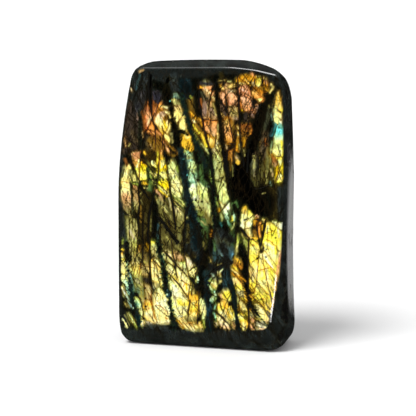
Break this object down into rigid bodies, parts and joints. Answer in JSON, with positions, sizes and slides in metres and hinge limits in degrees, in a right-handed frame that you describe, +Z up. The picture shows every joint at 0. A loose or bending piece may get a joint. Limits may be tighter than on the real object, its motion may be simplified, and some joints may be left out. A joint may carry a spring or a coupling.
{
  "type": "polished labradorite freeform slab",
  "caption": "Upright freeform slab of labradorite, ground and polished all over, with a gold and green flash on its front and a flat base to stand on.",
  "frame": {"origin": "On the table, under the middle of the stone's outer box.", "axes": "+Z up, +Y from the bright front face to the back, +X to the right of someone who looks at the front."},
  "size_m": [0.0734, 0.0324, 0.1203],
  "materials": {
    "polished_labradorite": "polished"
  },
  "bodies": {
    "root": {"stone": "polished_labradorite"}
  },
  "joints": []
}
